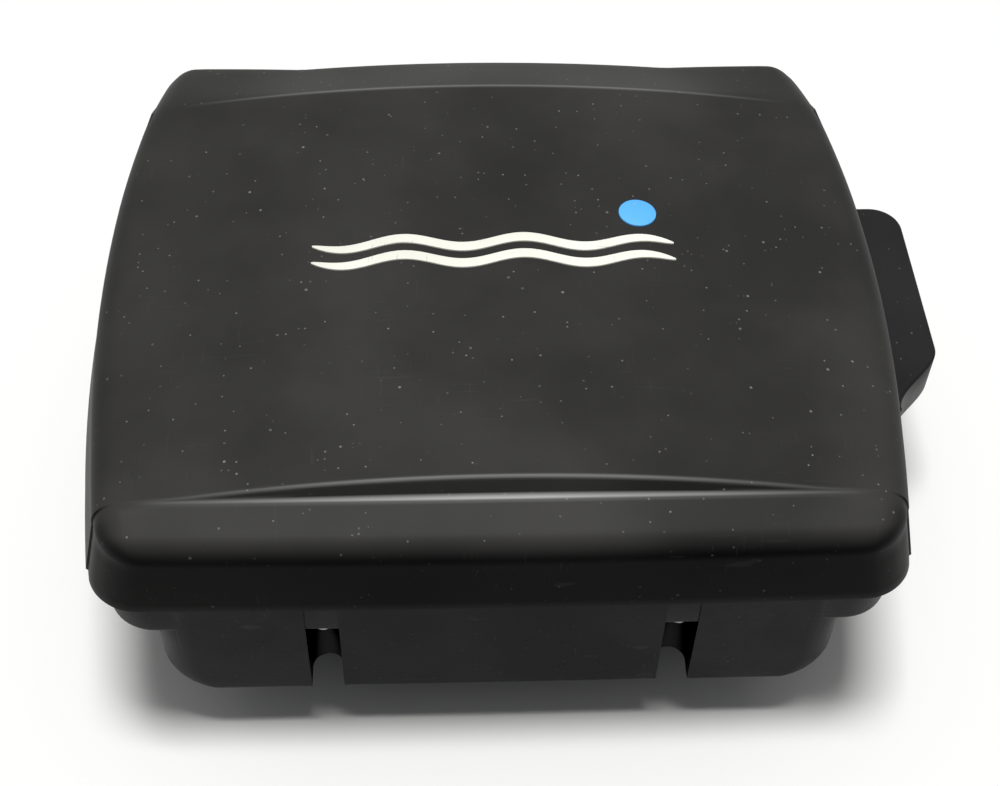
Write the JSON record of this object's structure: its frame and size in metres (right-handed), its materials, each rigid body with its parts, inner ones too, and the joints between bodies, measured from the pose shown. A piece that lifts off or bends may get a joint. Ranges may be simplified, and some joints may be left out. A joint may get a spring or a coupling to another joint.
{
  "type": "chartplotter display",
  "caption": "Small marine chartplotter display under a push-on sun cover, with a rear plug recess, a side card door and threads for a bracket or a panel.",
  "frame": {"origin": "centre of the raised rear block's flat face, which rests on the table", "axes": "+Z out through the screen, +X to the unit's right as its user sees it, +Y to its top"},
  "size_m": [0.1595, 0.13, 0.0628],
  "materials": {
    "cover_shell": "matte moulded plastic with a soft sheen",
    "mark_white": "matte printed white",
    "mark_blue": "matte printed blue",
    "case_plastic": "fine-textured moulded plastic",
    "bezel_plastic": "satin moulded plastic",
    "key_rubber": "silk-matte silicone",
    "seal_rubber": "matte black rubber",
    "mat_silicone": "matte silicone",
    "lens_glass": "smooth glass with a dark border",
    "lens_tape": "matte adhesive tape",
    "lcd_glass": "glossy dark display glass",
    "backlight": "matte white diffuser",
    "plated_steel": "tin-plated sheet",
    "screw_steel": "stainless",
    "brass": "turned brass",
    "contact_gold": "gold-plated contacts",
    "pcb_green": "solder resist",
    "chip_black": "moulded epoxy",
    "ceramic": "fired ceramic",
    "cell_steel": "polished steel can",
    "winding": "lacquered winding",
    "film_amber": "polyimide film",
    "chassis_alloy": "die-cast",
    "pivot_steel": "polished steel",
    "card_plastic": "moulded plastic",
    "connector_plastic": "glass-filled nylon",
    "insert_plastic": "moulded insulator",
    "membrane": "porous film",
    "label_plate": "brushed blank plate"
  },
  "bodies": {
    "unit": {"rear_housing": "case_plastic", "front_bezel": "bezel_plastic", "bezel_gasket": "seal_rubber", "door_gasket": "seal_rubber", "connector_seals": "seal_rubber", "bail_pads": "seal_rubber", "keypad_mat": "mat_silicone", "display_lens": "lens_glass", "lens_tape": "lens_tape", "lcd_panel": "lcd_glass", "lcd_backlight": "backlight", "lcd_frame": "plated_steel", "board_shield": "plated_steel", "card_socket": "plated_steel", "case_screws": "screw_steel", "chassis_screws": "screw_steel", "board_screws": "screw_steel", "connector_nuts": "screw_steel", "door_hinge_pin": "screw_steel", "bail_inserts": "brass", "flush_inserts": "brass", "connector_pins": "contact_gold", "main_board": "pcb_green", "keypad_board": "pcb_green", "connector_board": "pcb_green", "board_chips": "chip_black", "beeper": "chip_black", "board_header": "chip_black", "gps_antenna": "ceramic", "backup_cell": "cell_steel", "sounder_transformer": "winding", "display_ribbon": "film_amber", "inner_chassis": "chassis_alloy", "key_domes": "pivot_steel", "rocker_seat": "pivot_steel", "power_connector": "connector_plastic", "transducer_connector": "connector_plastic", "network_connector": "connector_plastic", "connector_inserts": "insert_plastic", "vent_membrane": "membrane", "rear_label": "label_plate"},
    "cover": {"sun_cover": "cover_shell", "emblem_waves": "mark_white", "emblem_disc": "mark_blue"},
    "zoom_out": {"key_zoom_out": "key_rubber"},
    "zoom_in": {"key_zoom_in": "key_rubber"},
    "home": {"key_home": "key_rubber"},
    "menu": {"key_menu": "key_rubber"},
    "select": {"key_select": "key_rubber"},
    "mark": {"key_mark": "key_rubber"},
    "power": {"key_power": "key_rubber"},
    "rocker_gimbal": {"rocker_post": "pivot_steel"},
    "rocker": {"rocker_pad": "key_rubber"},
    "card": {"memory_card": "card_plastic"},
    "door": {"card_door": "case_plastic"}
  },
  "joints": [
    {"name": "cover_lift", "type": "slide", "parent": "unit", "child": "cover", "axis": [0, 0, 1], "range_m": [0, 0.04]},
    {"name": "zoom_out_press", "type": "slide", "parent": "unit", "child": "zoom_out", "axis": [0, 0, -1], "range_m": [0, 0.0007], "stiffness_N_per_m": 800, "springref_m": -0.0003},
    {"name": "zoom_in_press", "type": "slide", "parent": "unit", "child": "zoom_in", "axis": [0, 0, -1], "range_m": [0, 0.0007], "stiffness_N_per_m": 800, "springref_m": -0.0003},
    {"name": "home_press", "type": "slide", "parent": "unit", "child": "home", "axis": [0, 0, -1], "range_m": [0, 0.0007], "stiffness_N_per_m": 800, "springref_m": -0.0003},
    {"name": "menu_press", "type": "slide", "parent": "unit", "child": "menu", "axis": [0, 0, -1], "range_m": [0, 0.0007], "stiffness_N_per_m": 800, "springref_m": -0.0003},
    {"name": "select_press", "type": "slide", "parent": "unit", "child": "select", "axis": [0, 0, -1], "range_m": [0, 0.0007], "stiffness_N_per_m": 800, "springref_m": -0.0003},
    {"name": "mark_press", "type": "slide", "parent": "unit", "child": "mark", "axis": [0, 0, -1], "range_m": [0, 0.0007], "stiffness_N_per_m": 800, "springref_m": -0.0003},
    {"name": "power_press", "type": "slide", "parent": "unit", "child": "power", "axis": [0, 0, -1], "range_m": [0, 0.0007], "stiffness_N_per_m": 800, "springref_m": -0.0003},
    {"name": "rocker_pitch", "type": "hinge", "parent": "unit", "child": "rocker_gimbal", "pos_m": [0.0415, -0.003, 0.0539], "axis": [1, 0, 0], "range_deg": [-3.5, 3.5], "stiffness_Nm_per_rad": 0.2},
    {"name": "rocker_roll", "type": "hinge", "parent": "rocker_gimbal", "child": "rocker", "pos_m": [0.0415, -0.003, 0.0539], "axis": [0, 1, 0], "range_deg": [-3.5, 3.5], "stiffness_Nm_per_rad": 0.2},
    {"name": "card_eject", "type": "slide", "parent": "unit", "child": "card", "axis": [1, 0, 0], "range_m": [0, 0.005]},
    {"name": "door_swing", "type": "hinge", "parent": "unit", "child": "door", "pos_m": [0.0763, 0.006, 0.0329], "axis": [0, 1, 0], "range_deg": [0, 100]}
  ]
}
